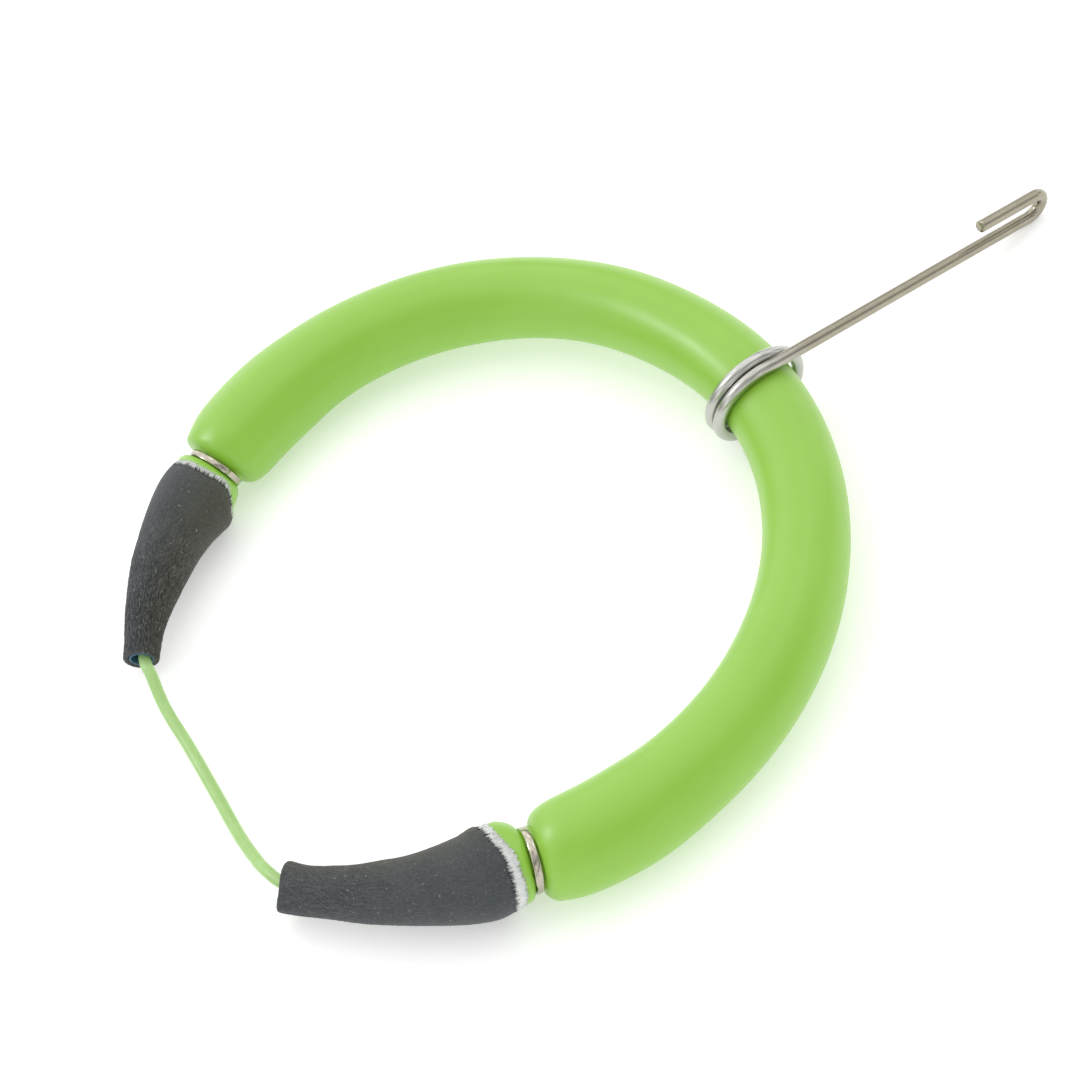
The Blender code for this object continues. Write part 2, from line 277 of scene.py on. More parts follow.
def frayed_edge(hand, angle):
    """The edge's wandering, in metres, as one smooth closed curve."""
    places, shifts = np.array(FRAYED_EDGES[hand], float).T
    turns = np.concatenate([places + turn for turn in (-360, 0, 360)])
    wide = np.arange(-360, 361)
    shift = np.interp(wide, turns, np.tile(shifts, 3))
    soft = np.convolve(np.pad(shift, 12, "edge"), np.hanning(25) / np.hanning(25).sum(), "valid")
    return np.interp(np.degrees(angle), wide, soft) * MM


def neck_shift(hand, beyond, angle):
    """How far a point near the neck is shifted along the tube: with the ferrule's lean or the frayed edge."""
    middle, lean, most = FERRULE_LEANS[hand]
    ferrule = middle + lean * np.cos(np.asarray(angle) - most)
    share = np.clip((beyond - FERRULE_SIDE) / (SLEEVE_EDGE - FERRULE_SIDE), 0, 1)
    after = np.clip(1 - (beyond - SLEEVE_EDGE) / SHIFT_FADE_OUT, 0, 1) ** 2
    fade = np.where(beyond < 0, bell(beyond, 0, SHIFT_FADE_IN), after)
    return fade * (ferrule * (1 - share) + frayed_edge(hand, angle) * share)


def swelling(hand, beyond, angle):
    """The cuff's, lining's and sleeve's change of radius, as listed for the inner and the outer side."""
    change = 0
    for table, middle in ((INNER_SWELLING, INNER_SIDE[hand]), (OUTER_SWELLING, 0)):
        places, changes = np.array(table[hand]).T * MM
        change = change + np.interp(beyond, places, changes) * towards(angle, middle)
    return change


def directions(distance):
    """Unit vectors along the centreline, away from the ring's middle, and up, in the ring's frame."""
    along = unit(centre(distance + 1e-4) - centre(distance - 1e-4))
    outward = unit(np.cross((0, 0, 1), along))
    return along, outward, np.cross(along, outward)


def around(distance, angle, radius):
    """World points at an angle and a radius round the centreline."""
    _, outward, upward = directions(distance)
    angle, radius = np.asarray(angle)[..., None], np.asarray(radius)[..., None]
    return to_world(centre(distance) + radius * (np.cos(angle) * outward + np.sin(angle) * upward))


def smooth_through(points, step):
    """Points at most a step apart on a smooth curve through the given ones, in any number of dimensions."""
    spots = np.asarray(points, float)
    spots = np.vstack((2 * spots[0] - spots[1], spots, 2 * spots[-1] - spots[-2]))
    route = []
    for before, start, end, after in zip(spots, spots[1:], spots[2:], spots[3:]):
        count = max(1, math.ceil(np.linalg.norm(end - start) / step))
        for k in range(count):
            t = k / count
            bend = 2 * start + (end - before) * t + (2 * before - 5 * start + 4 * end - after) * t**2
            route.append(0.5 * (bend + (3 * start - before - 3 * end + after) * t**3))
    return np.array(route + [spots[-2]])


# Meshes

def new_object(name, points, faces, material, body="ring", uv=None):
    mesh = bpy.data.meshes.new(name)
    mesh.from_pydata(np.asarray(points).tolist(), [], [list(map(int, face)) for face in faces])
    mesh.materials.append(material)
    mesh.shade_smooth()
    if uv is not None:
        layer = mesh.uv_layers.new(name="UVMap")
        corner = np.empty(len(mesh.loops), np.int32)
        mesh.loops.foreach_get("vertex_index", corner)
        layer.data.foreach_set("uv", np.asarray(uv, np.float32)[corner].ravel())
    obj = bpy.data.objects.new(name, mesh)
    bpy.context.scene.collection.objects.link(obj)
    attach(obj, body)
    return obj


def grid_faces(rows, columns, closed_rows):
    """Quads of a grid whose columns go round and whose rows may close up too."""
    i = np.arange(rows if closed_rows else rows - 1)[:, None]
    j = np.arange(columns)[None, :]
    row, below, after = i * columns, (i + 1) % rows * columns, (j + 1) % columns
    return np.stack((row + j, row + after, below + after, below + j), -1).reshape(-1, 4)


def spread_round(outline, columns):
    """Grids of distance, radius and angle: a row for each point of the outline, a column for each angle."""
    angle = np.linspace(-0.5 * math.pi, 1.5 * math.pi, columns, endpoint=False)
    distance = np.repeat(outline[:, :1], columns, axis=1)
    radius = np.repeat(outline[:, 1:], columns, axis=1)
    return distance, radius, np.repeat(angle[None, :], len(outline), axis=0)


def round_faces(outline, columns, hand):
    """The faces of such a grid, with their outsides out, whichever way its closed outline runs."""
    faces = grid_faces(len(outline), columns, True)
    after = np.roll(outline, -1, axis=0)
    area = np.sum(outline[:, 0] * after[:, 1] - after[:, 0] * outline[:, 1])
    return faces[:, ::-1] if (area > 0) == (hand > 0) else faces


def round_uv(distance, angle):
    return np.stack((distance * 100, angle / math.tau * 6), -1).reshape(-1, 2)


def turned(name, outline, columns, material, hand=1, change=None):
    """A closed outline of (distance, radius) turned round the centreline. change gives each point a new
    distance and radius."""
    outline = np.asarray(outline)
    distance, radius, angle = spread_round(outline, columns)
    if change is not None:
        distance, radius = change(distance, radius, angle)
    points = around(hand * distance, angle, radius).reshape(-1, 3)
    faces = round_faces(outline, columns, hand)
    return new_object(name, points, faces, material, uv=round_uv(distance, angle))


def tube(name, route, radius, columns, material, body, chamfer):
    """A round wire through dense points, with flat cut ends and a small chamfer at each."""
    route = np.asarray(route, float)
    tangent = unit(np.gradient(route, axis=0))
    normal = unit(np.cross(tangent[0], (0.3, 0.2, 1)))
    length = np.concatenate(([0], np.cumsum(np.linalg.norm(np.diff(route, axis=0), axis=1))))
    angle = np.linspace(0, math.tau, columns, endpoint=False)
    rings, uv = [], []
    for spot, way, done in zip(route, tangent, length):
        normal = unit(normal - way * np.dot(normal, way))
        side = np.cross(way, normal)
        ends = min(done, length[-1] - done)
        here = radius - max(0.0, chamfer - ends)
        rings.append(spot + here * (np.cos(angle)[:, None] * normal + np.sin(angle)[:, None] * side))
        uv.append(np.stack((np.full(columns, done * 100), angle / math.tau * 6), -1))
    points = np.concatenate(rings)
    faces = grid_faces(len(route), columns, False).tolist()
    last = (len(route) - 1) * columns
    faces += [list(range(columns))[::-1], list(range(last, last + columns))]
    obj = new_object(name, points, faces, material, body=body, uv=np.concatenate(uv))
    obj.data.set_sharp_from_angle(angle=math.radians(50))
    return obj


# Materials

class Nodes:
    """Short hands for building the nodes of a new material or world, around its own shader."""

    def __init__(self, owner, shader="Principled BSDF"):
        owner.use_nodes = True
        self.owner, self.tree = owner, owner.node_tree
        self.shader = self.tree.nodes[shader]

    def add(self, kind, values=(), **settings):
        node = self.tree.nodes.new(kind)
        for key, value in settings.items():
            setattr(node, key, value)
        for key, value in dict(values).items():
            if isinstance(value, bpy.types.NodeSocket):
                self.tree.links.new(value, node.inputs[key])
            else:
                node.inputs[key].default_value = value
        return node

    def put(self, socket, value):
        if isinstance(value, bpy.types.NodeSocket):
            self.tree.links.new(value, self.shader.inputs[socket])
        else:
            self.shader.inputs[socket].default_value = value

    def place(self, scale, uv=False):
        source = self.add("ShaderNodeTexCoord").outputs["UV" if uv else "Object"]
        return self.add("ShaderNodeMapping", {"Vector": source, "Scale": scale}).outputs[0]

    def noise(self, scale, detail, rough, uv=False):
        """Noise with that many grains to the metre along each axis, or to the unit of U and V."""
        values = {"Vector": self.place(scale, uv), "Scale": 1.0, "Detail": detail, "Roughness": rough}
        return self.add("ShaderNodeTexNoise", values).outputs["Fac"]

    def ramp(self, factor, *stops):
        """A colour for the factor, from two stops of (place, colour)."""
        node = self.add("ShaderNodeValToRGB", {"Fac": factor})
        for element, (place, colour) in zip(node.color_ramp.elements, stops):
            element.position, element.color = place, (*colour, 1)
        return node.outputs["Color"]

    def grey(self, factor, low, high, start=0.0, end=1.0):
        """The factor's stretch from start to end, mapped to low to high and held there beyond it."""
        values = {"Value": factor, "From Min": start, "From Max": end, "To Min": low, "To Max": high}
        return self.add("ShaderNodeMapRange", values).outputs["Result"]

    def mix(self, factor, first, second):
        node = self.add("ShaderNodeMix", data_type="RGBA")
        for index, value in ((0, factor), (6, first), (7, second)):
            if isinstance(value, bpy.types.NodeSocket):
                self.tree.links.new(value, node.inputs[index])
            else:
                node.inputs[index].default_value = (*value, 1) if isinstance(value, tuple) else value
        return node.outputs[2]

    def bump(self, height, strength, distance, normal=None):
        values = {"Height": height, "Strength": strength, "Distance": distance}
        if normal is not None:
            values["Normal"] = normal
        return self.add("ShaderNodeBump", values).outputs[0]


def green_elastomer():
    n = Nodes(bpy.data.materials.new("green_elastomer_skin"))
    patches = n.noise((55, 55, 55), 2, 0.5)
    n.put("Base Color", n.ramp(patches, (0.3, (0.268, 0.541, 0.038)), (0.7, (0.280, 0.563, 0.046))))
    scuffs = n.noise((380, 380, 380), 4, 0.65)
    n.put("Roughness", n.grey(scuffs, 0.34, 0.42, 0.3, 0.7))
    n.put("Specular IOR Level", 0.6)
    n.put("Coat Weight", 0.3)
    n.put("Coat Roughness", 0.34)
    n.put("Subsurface Weight", 0.15)
    n.put("Subsurface Radius", (0.6, 1.0, 0.2))
    n.put("Subsurface Scale", 0.002)
    grain = n.noise((1900, 1900, 1900), 3, 0.6)
    waves = n.noise((70, 70, 70), 1, 0.5)
    n.put("Normal", n.bump(grain, 0.25, 0.00003, n.bump(waves, 0.3, 0.0004)))
    return n.owner


def steel(name, tint, smoothest, roughest, coil_painted_reflection=None):
    """Nickelled steel. The optional last argument is a paler, cooler colour painted on the first stretch of a
    wire, where it coils round the tube: painted reflection for the coil's bluish highlights.
    """
    n = Nodes(bpy.data.materials.new(name))
    streaks = n.noise((0.6, 9, 1), 5, 0.6, uv=True)
    spots = n.noise((260, 260, 260), 4, 0.6)
    warm = tuple(channel * 0.90 for channel in tint)
    colour = n.mix(n.grey(spots, 0, 1, 0.35, 0.65), tint, warm)
    # Painted reflection: the coiled stretch of wire gets the paler, cooler colour of its bluish highlights.
    if coil_painted_reflection is not None:
        uv = n.add("ShaderNodeTexCoord").outputs["UV"]
        along = n.add("ShaderNodeSeparateXYZ", {"Vector": uv}).outputs["X"]
        colour = n.mix(n.grey(along, 1, 0, COIL_REFLECTION_END - COIL_REFLECTION_FADE, COIL_REFLECTION_END), colour, coil_painted_reflection)
    n.put("Base Color", colour)
    n.put("Metallic", 1.0)
    n.put("Roughness", n.grey(streaks, smoothest, roughest, 0.3, 0.7))
    scratches = n.noise((2.5, 60, 1), 3, 0.7, uv=True)
    n.put("Normal", n.bump(scratches, 0.12, 0.00003, n.bump(spots, 0.08, 0.0001)))
    return n.owner


def black_suede():
    n = Nodes(bpy.data.materials.new("black_suede_skin"))
    painted_shade_and_highlight = n.add("ShaderNodeAttribute", attribute_name="painted_shade_and_highlight").outputs["Fac"]
    painted_tube_bounce = n.add("ShaderNodeAttribute", attribute_name="painted_tube_bounce").outputs["Fac"]
    grain = n.noise((2200, 2200, 2200), 4, 0.7)
    blotch = n.noise((160, 160, 160), 3, 0.6)
    cool = n.ramp(blotch, (0.35, (0.046, 0.055, 0.064)), (0.65, (0.060, 0.069, 0.077)))
    olive = n.ramp(blotch, (0.35, (0.050, 0.052, 0.038)), (0.65, (0.064, 0.065, 0.048)))
    # Painted reflected light: the side towards the ring's middle turns olive, standing in for light thrown back
    # from the green tube.
    base = n.mix(painted_tube_bounce, cool, olive)
    base = n.mix(n.grey(grain, 0, 0.75, 0.44, 0.66), base, (0.105, 0.108, 0.100))
    # Painted shade darkens the cracks, and painted highlight lightens the ridges.
    base = n.mix(n.grey(painted_shade_and_highlight, 0, 0.8, 0.0, 1.0), base, (0.012, 0.013, 0.013))
    base = n.mix(n.grey(painted_shade_and_highlight, 0, 0.85, 0.0, -1.0), base, (0.210, 0.205, 0.180))
    specks = n.noise((1100, 1100, 1100), 2, 0.5)
    n.put("Base Color", n.mix(n.grey(specks, 0, 0.6, 0.70, 0.75), base, (0.36, 0.36, 0.33)))
    n.put("Roughness", n.grey(grain, 0.70, 0.90))
    n.put("Specular IOR Level", 0.35)
    n.put("Sheen Weight", 0.12)
    n.put("Sheen Roughness", 0.5)
    n.put("Normal", n.bump(grain, 0.9, 0.00014))
    return n.owner


def white_fleece():
    n = Nodes(bpy.data.materials.new("white_fleece_fibres"))
    tufts = n.noise((900, 900, 900), 4, 0.7)
    n.put("Base Color", n.ramp(tufts, (0.3, (0.68, 0.71, 0.69)), (0.7, (0.82, 0.83, 0.81))))
    n.put("Roughness", n.grey(tufts, 0.85, 1.0))
    n.put("Specular IOR Level", 0.2)
    n.put("Sheen Weight", 0.3)
    n.put("Subsurface Weight", 0.2)
    n.put("Subsurface Radius", (1.0, 1.0, 1.0))
    n.put("Subsurface Scale", 0.0006)
    n.put("Normal", n.bump(tufts, 0.9, 0.0002))
    return n.owner


def blue_hose():
    n = Nodes(bpy.data.materials.new("blue_hose_vinyl"))
    cloud = n.noise((700, 700, 700), 3, 0.6)
    n.put("Base Color", n.ramp(cloud, (0.3, (0.022, 0.075, 0.135)), (0.7, (0.045, 0.125, 0.200))))
    n.put("Roughness", n.grey(cloud, 0.32, 0.45))
    n.put("Normal", n.bump(cloud, 0.3, 0.00005))
    return n.owner


def green_cord():
    n = Nodes(bpy.data.materials.new("green_cord_vinyl"))
    cloud = n.noise((240, 240, 240), 3, 0.6)
    n.put("Base Color", n.ramp(cloud, (0.3, (0.36, 0.57, 0.19)), (0.7, (0.42, 0.64, 0.26))))
    n.put("Roughness", n.grey(n.noise((900, 900, 900), 3, 0.6), 0.28, 0.40))
    n.put("Subsurface Weight", 0.5)
    n.put("Subsurface Radius", (0.7, 1.0, 0.5))
    n.put("Subsurface Scale", 0.002)
    n.put("Normal", n.bump(n.noise((500, 500, 500), 2, 0.5), 0.2, 0.00005))
    return n.owner


def hidden_foam():
    n = Nodes(bpy.data.materials.new("foam_cells"))
    values = {"Vector": n.place((900, 900, 900)), "Scale": 1.0}
    cells = n.add("ShaderNodeTexVoronoi", values).outputs["Distance"]
    n.put("Base Color", n.ramp(cells, (0.1, (0.62, 0.62, 0.57)), (0.6, (0.48, 0.48, 0.44))))
    n.put("Roughness", n.grey(cells, 0.85, 1.0))
    n.put("Normal", n.bump(cells, 0.6, 0.0002))
    return n.owner


def hidden_plastic():
    n = Nodes(bpy.data.materials.new("plug_plastic"))
    cloud = n.noise((400, 400, 400), 3, 0.6)
    n.put("Base Color", n.ramp(cloud, (0.3, (0.76, 0.76, 0.73)), (0.7, (0.82, 0.82, 0.80))))
    n.put("Roughness", n.grey(cloud, 0.42, 0.55))
    n.put("Normal", n.bump(cloud, 0.2, 0.00005))
    return n.owner


# Camera and cord

def make_camera():
    data = bpy.data.cameras.new("camera")
    data.sensor_width, data.lens, data.clip_start = 36, CAMERA_LENS, 0.01
    camera = bpy.data.objects.new("camera", data)
    camera.location = CAMERA_AT
    camera.rotation_euler = [math.radians(angle) for angle in CAMERA_TURN]
    bpy.context.scene.collection.objects.link(camera)
    bpy.context.scene.camera = camera


def cord_end(hand):
    """The cord's points inside a sleeve, from its knot to the mouth, in the ring's frame."""
    points = [centre(hand * (HOSE_START + share * HOSE_LENGTH)) for share in (0, 0.35, 0.7)]
    _, outward, _ = directions(hand * MOUTH)
    return points + [centre(hand * MOUTH) - CORD_SIDESTEP * outward]


def make_cord(material):
    route = cord_end(-1) + [np.array(spot) for spot in CORD_ROUTE] + cord_end(1)[::-1]
    points = to_world(smooth_through(route, CORD_STEP))
    curve = bpy.data.curves.new("slack_cord", "CURVE")
    curve.dimensions = "3D"
    curve.bevel_depth, curve.bevel_resolution, curve.use_fill_caps = CORD_RADIUS, 8, True
    spline = curve.splines.new("POLY")
    spline.points.add(len(points) - 1)
    for spot, point in zip(spline.points, points):
        spot.co = (*point, 1)
    curve.materials.append(material)
    cord = bpy.data.objects.new("slack_cord", curve)
    bpy.context.scene.collection.objects.link(cord)
    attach(cord, "ring")
    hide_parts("cord")


# Ring and its ends

def half_outline():
    """The tube's outside from the ring's middle to the cuff's hidden edge."""
    body = RING_OUTLINE + [(NECK + d, r) for d, r in SHOULDER_OUTLINE]
    cuff = [(NECK + d, r) for d, r in CUFF_OUTLINE]
    return np.vstack((smooth_through(body, 0.0012), smooth_through(cuff, 0.0003)))


def left_neck(angle):
    """The left neck's change of radius."""
    return LEFT_NECK_ASIDE * np.cos(angle - LEFT_NECK_TOWARDS) - LEFT_NECK_SLIMMER


def soft_tube(distance, radius, angle):
    """The slight unevenness of a soft moulded tube, its shoulders and its leaning necks."""
    on_left = distance < 0
    slow = np.sin(61 * distance + 1.3) * np.cos(angle - 0.6)
    slow = slow + 0.6 * np.sin(143 * distance) * np.sin(2 * angle)
    radius = radius + 0.07 * MM * slow
    for middle, width, change in FULLER:
        radius = radius + change * bell(distance, middle, width) * np.cos(angle)
    beyond = abs(distance) - NECK
    middle, width, change = FULLER_SHOULDERS
    radius = radius + change * bell(beyond, middle, width) * towards(angle, 0)
    middle, width, change = FULLER_LEFT_SHOULDER
    radius = radius + change * bell(beyond, middle, width) * towards(angle, LEFT_NECK_TOWARDS) * on_left
    radius = radius + np.clip(1.5 - abs(beyond) / 0.002, 0, 1) * on_left * left_neck(angle)
    left, right = beyond + neck_shift(-1, beyond, angle), beyond + neck_shift(1, beyond, angle)
    radius = radius + np.where(on_left, swelling(-1, left, angle), swelling(1, right, angle))
    return np.where(on_left, -left - NECK, right + NECK), radius


def make_ring_skin(material):
    half = half_outline()
    outer = np.vstack((half[::-1] * (-1, 1), half[1:]))
    inner = np.array([(-NECK + d, r) for d, r in NECK_BORE] + [(0, RING_BORE)])
    bore = smooth_through(np.vstack((inner, inner[-2::-1] * (-1, 1))), 0.004)
    skin = turned("ring_skin", np.vstack((outer, bore[::-1])), 112, material, change=soft_tube)
    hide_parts("ring_tube")


def make_ferrule(side, material):
    hand = SIDES[side]
    edge, inner, outer, rise = 0.00090, 0.0071, 0.00770, 0.00024
    turns = np.linspace(0.12, 3.02, 15)
    crown = [(math.cos(turn) * edge, outer - rise + rise * math.sin(turn)) for turn in turns]
    outline = [(NECK + d, r) for d, r in ((edge, inner), *crown, (-edge, inner))]
    phase = rng.uniform(0, math.tau, 4)

    def dented(distance, radius, angle):
        deep = sum(np.cos(k * angle + turn) / k for k, turn in zip((3, 7, 13, 22), phase))
        dents = 0.04 * MM * deep * (1 + 0.5 * np.sin(distance * 3000 + 5 * angle))
        shape = dents + (left_neck(angle) if side == "left" else 0)
        return distance + neck_shift(hand, 0 * distance, angle), radius + shape

    ring = turned("ferrule_band_" + side, outline, 144, material, hand, dented)
    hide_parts("ferrule_" + side)


def cell_relief(points, cells):
    """For each point, which cell it is in and how near to the cell's edge, from 0 in the middle to 1."""
    tree = kdtree.KDTree(len(cells))
    for index, cell in enumerate(cells):
        tree.insert(cell, index)
    tree.balance()
    edge, owner = np.empty(len(points)), np.empty(len(points), int)
    for index, point in enumerate(points):
        near = tree.find_n(point, 2)
        edge[index], owner[index] = near[0][2] / near[1][2], near[0][1]
    return edge, owner


def on_barrel(run, angle):
    return np.stack((run, CRACKLE_GIRTH * np.cos(angle), CRACKLE_GIRTH * np.sin(angle)), -1)


def crackle(distance, angle, share):
    """The suede's height change in metres and its painted light, from -1 for a painted highlight on a pale ridge
    to 1 for painted shade in a dark crack.
    """
    height, shade = np.zeros(distance.shape), np.zeros(distance.shape)
    run = distance / MM
    turn = angle + 0.022 * np.sin(run * 0.9 + 5 * angle) + 0.010 * np.sin(run * 2.3 - 9 * angle + 1)
    drift = run + 0.8 * np.sin(4 * angle + run * 0.35)
    for count, squash, width, depth, dark in CRACKLE_LAYERS:
        places = on_barrel(squash * drift, turn)
        spread = rng.uniform(0, math.tau, count)
        cells = on_barrel(squash * rng.uniform(0, CRACKLE_RUN, count), spread)
        edge, owner = cell_relief(places.reshape(-1, 3), cells)
        edge, owner = edge.reshape(distance.shape), owner.reshape(distance.shape)
        groove = np.clip((edge - (1 - width)) / width, 0, 1) ** 1.5
        ridge = (1 - groove) * rng.uniform(0, 1, count)[owner] ** 2.2
        rise = 0.35 * rng.uniform(-1, 1, count)[owner] * (1 - groove)
        height += depth * (rise - groove) * MM * share
        # Painted shade darkens each crack, and painted highlight lightens some cells' ridges.
        shade += dark * (groove - RIDGE_PAINTED_HIGHLIGHT * ridge) * (0.12 + 0.88 * share)
    return height, np.clip(shade, -1, 1)


def spikes(count, width, length, root):
    """Short tapered three-sided fibres round the neck: their points' distances, angles and radii, and their
    faces. root gives each fibre's distance, radius and fall from its angle; width and length are ranges in
    millimetres."""
    turn = (np.arange(count) + rng.uniform(-0.4, 0.4, count)) / count * math.tau
    start, height, fall = (values[:, None, None] for values in root(turn))
    long = rng.uniform(*length, count)[:, None, None] * MM
    thick = rng.uniform(*width, count)[:, None, None] * MM
    bend = rng.normal(0, 0.014, count)[:, None, None]
    share = np.array((0.0, 0.5, 1.0))[None, :, None]
    way = np.arange(3)[None, None, :] / 3 * math.tau
    slim = thick * (1 - 0.8 * share)
    distance = start - long * share + 0 * way
    angle = turn[:, None, None] + bend * share + slim * np.cos(way) / NECK_RADIUS
    radius = height - fall * share + slim * np.sin(way) * 0.6
    first = np.arange(count)[:, None] * 9
    sides = []
    for s in (0, 3):
        for k in range(3):
            after = (k + 1) % 3
            sides.append(first + np.array((s + k, s + after, s + after + 3, s + k + 3)))
    quads = np.stack(sides, 1).reshape(-1, 4)
    ends = np.concatenate((first + np.array((6, 7, 8)), first + np.array((2, 1, 0))))
    return distance.ravel(), angle.ravel(), radius.ravel(), quads.tolist() + ends.tolist()


def fibred(outline, grids, fibres, hand):
    """The points and faces of a turned outline with fibres on it, and each point's distance and angle."""
    *places, fibre_faces = fibres
    distance, angle, radius = (np.concatenate((grid.ravel(), more)) for grid, more in zip(grids, places))
    base = grids[0].size
    faces = round_faces(outline, grids[0].shape[1], hand).tolist()
    faces += [[base + corner for corner in face[::hand]] for face in fibre_faces]
    return around(hand * (NECK + distance), angle, radius), faces, distance, angle


def sleeve_outline(hand):
    """The sleeve's closed outline, and how many of its points come before the ones inside it."""
    outside = smooth_through(SLEEVE_OUTLINE, 0.00021)
    near_mouth = (outside[:, 0] - MOUTH_CHANGE_START) / (SLEEVE_RUN - MOUTH_CHANGE_START)
    outside[:, 1] += MOUTH_CHANGE[hand] * np.clip(near_mouth, 0, None)
    lip_radius = 0.0006
    outside = outside[outside[:, 0] < SLEEVE_RUN - lip_radius]
    turn = np.linspace(0.15, 1.0, 6) * 0.5 * math.pi
    lip = np.array((SLEEVE_RUN - lip_radius, outside[-1, 1] - lip_radius))
    lip = lip + lip_radius * np.stack((np.sin(turn), np.cos(turn)), -1)
    seat = HOSE_RADIUS + 0.00008
    inside = [(SLEEVE_RUN - d, seat + rise) for d, rise in ((0.00005, 0.0004), (0.0005, 0), (0.009, 0))]
    return np.vstack((outside, lip, inside + SLEEVE_WALL_INSIDE)), len(outside) + len(lip)


def make_sleeve(side, material):
    hand = SIDES[side]
    outline, shown = sleeve_outline(hand)
    distance, radius, angle = spread_round(outline, 320)
    along = distance[:shown]

    share = np.clip((along - CRACKLE_START) / CRACKLE_GROWS_OVER, 0, 1)
    height, shade = crackle(along, angle[:shown], share * CRACKLE_STRENGTH[hand])
    height += SUEDE_GRAIN * rng.normal(0, 1, height.shape) * (1 - 0.4 * share)
    lumps = SUEDE_LUMPS * np.sin(along * 420 + 2) * np.cos(3 * angle[:shown] + along * 90) * share
    radius[:shown] += height + lumps + 0.05 * MM

    by_edge = np.clip(1 - (along - SLEEVE_EDGE) / 0.0012, 0, 1)
    near = np.clip((distance - RIGHT_MOUTH_START) / (SLEEVE_RUN - RIGHT_MOUTH_START), 0, 1) ** 2
    distance = distance + neck_shift(hand, distance.clip(SLEEVE_EDGE), angle)
    radius += swelling(hand, distance, angle)
    wander = TOOTH_WANDER * rng.normal(0, 1, distance.shape[1])
    distance[:shown] += (wander + np.roll(wander, 1)) / 2 * by_edge
    if side == "right":
        flare, middle = RIGHT_MOUTH_FLARE
        radius[:shown] += flare * (near * towards(angle, middle))[:shown]
        for slant, middle, sharp in RIGHT_MOUTH_SLANTS:
            distance += slant * near * towards(angle, middle) ** sharp

    def tooth_root(turn):
        start = FIBRE_START + neck_shift(hand, 0 * turn + SLEEVE_EDGE, turn)
        return start, 0.01024 + swelling(hand, start, turn), 0 * turn + 0.04 * MM

    teeth = spikes(*TEETH, tooth_root)
    points, faces, d, a = fibred(outline, (distance, angle, radius), teeth, hand)
    sleeve = new_object("suede_sleeve_" + side, points, faces, material, uv=round_uv(d, a))
    # The crackle's painted shade and painted highlight, handed to the material as a point attribute.
    painted_shade_and_highlight = np.zeros(len(d), np.float32)
    painted_shade_and_highlight[: shade.size] = shade.ravel()
    # Painted reflected light from the green tube: how much olive tint each point gets, most on the side towards
    # the ring's middle.
    painted_tube_bounce = np.clip(0.5 - 0.9 * np.cos(a - 0.35), 0, 1).astype(np.float32)
    for name, values in (("painted_shade_and_highlight", painted_shade_and_highlight), ("painted_tube_bounce", painted_tube_bounce)):
        sleeve.data.attributes.new(name, "FLOAT", "POINT").data.foreach_set("value", values)
    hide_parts("sleeve_" + side)


def make_fleece(side, material):
    """The fleece lining where it shows: a soft band, and fibres that stand out from the sleeve's edge."""
    hand = SIDES[side]
    columns = 360
    rim = SLEEVE_EDGE - FLEECE_WIDTH[hand]
    outline = np.array([(rim + d, r) for d, r in FLEECE_RIM] + FLEECE_UNDER_SLEEVE)
    distance, radius, angle = spread_round(outline, columns)
    radius[1:4] += 0.04 * MM * rng.normal(0, 1, (3, columns))
    distance[:3] += 0.2 * MM * rng.normal(0, 1, (1, columns))
    distance += neck_shift(hand, 0 * distance + SLEEVE_EDGE, angle)
    radius += swelling(hand, distance, angle)

    def fibre_root(turn):
        start = rng.uniform(rim + 0.0002, FIBRE_START, len(turn))
        start = start + neck_shift(hand, 0 * turn + SLEEVE_EDGE, turn)
        height = rng.uniform(0.0097, 0.0100, len(turn)) + swelling(hand, start, turn)
        return start, height, rng.uniform(0.10, 0.35, len(turn)) * MM

    fibres = spikes(*FIBRES, fibre_root)
    points, faces, _, _ = fibred(outline, (distance, angle, radius), fibres, hand)
    fleece = new_object("fleece_edge_" + side, points, faces, material)
    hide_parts("sleeve_lining_" + side)


def make_hose(side, material):
    start, end = HOSE_START, MOUTH - 0.0001
    rim = 0.5 * (HOSE_RADIUS - HOSE_BORE)
    middle = HOSE_BORE + rim
    turn = np.linspace(0, math.pi, 9)
    lip = [(end - rim + rim * math.sin(t), middle + rim * math.cos(t)) for t in turn]
    steps = np.linspace(start, end - rim, 24)[:-1]
    outline = [(d, HOSE_RADIUS) for d in steps] + lip + [(d, HOSE_BORE) for d in steps[::-1]]
    hose = turned("vinyl_hose_" + side, outline, 64, material, SIDES[side])
    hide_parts("liner_hose_" + side)


# The hanger

